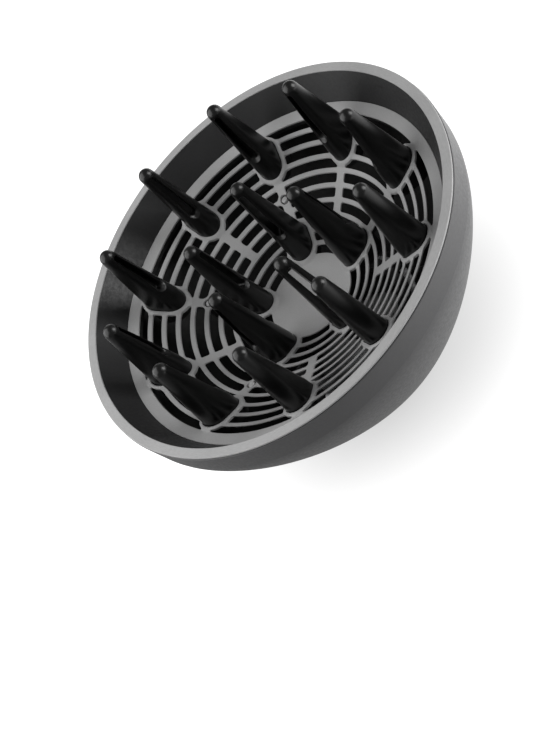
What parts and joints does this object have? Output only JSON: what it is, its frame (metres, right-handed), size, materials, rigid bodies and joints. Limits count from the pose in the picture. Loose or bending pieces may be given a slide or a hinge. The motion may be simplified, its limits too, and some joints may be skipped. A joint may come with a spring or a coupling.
{
  "type": "hair dryer diffuser",
  "caption": "Bowl-shaped hair dryer diffuser with a slotted dish, upright air fingers and a turning socket that fits a round dryer nozzle.",
  "frame": {"origin": "centre of the socket's end face, where the dryer nozzle enters", "axes": "+Z along the bowl's axis towards its mouth, -Y towards one of the inner fingers"},
  "size_m": [0.16, 0.16, 0.0959],
  "materials": {
    "rim": "satin, fine grain",
    "shell": "satin soft-touch lacquer",
    "wall": "matte moulded",
    "grille": "satin, fine grain",
    "finger": "black satin to gloss at the tips",
    "carrier": "matte moulded",
    "socket": "satin moulded, fluted flange",
    "grip": "matte heat-proof silicone",
    "clip": "sprung steel"
  },
  "bodies": {
    "socket": {"socket_collar": "socket", "grip_ring": "grip", "retaining_ring": "clip"},
    "bowl": {"outer_shell": "shell", "rim_ring": "rim", "inner_wall": "wall", "grille_plate": "grille", "finger_carrier": "carrier", "grille_pins": "grille", "outer_finger_1": "finger", "outer_finger_2": "finger", "outer_finger_3": "finger", "outer_finger_4": "finger", "outer_finger_5": "finger", "outer_finger_6": "finger", "outer_finger_7": "finger", "outer_finger_8": "finger", "outer_finger_9": "finger", "outer_finger_10": "finger", "inner_finger_1": "finger", "inner_finger_2": "finger", "inner_finger_3": "finger", "inner_finger_4": "finger", "inner_finger_5": "finger"}
  },
  "joints": [
    {"name": "bowl_swivel", "type": "hinge", "parent": "socket", "child": "bowl", "pos_m": [0, 0, 0.01], "axis": [0, 0, 1], "continuous": true}
  ]
}
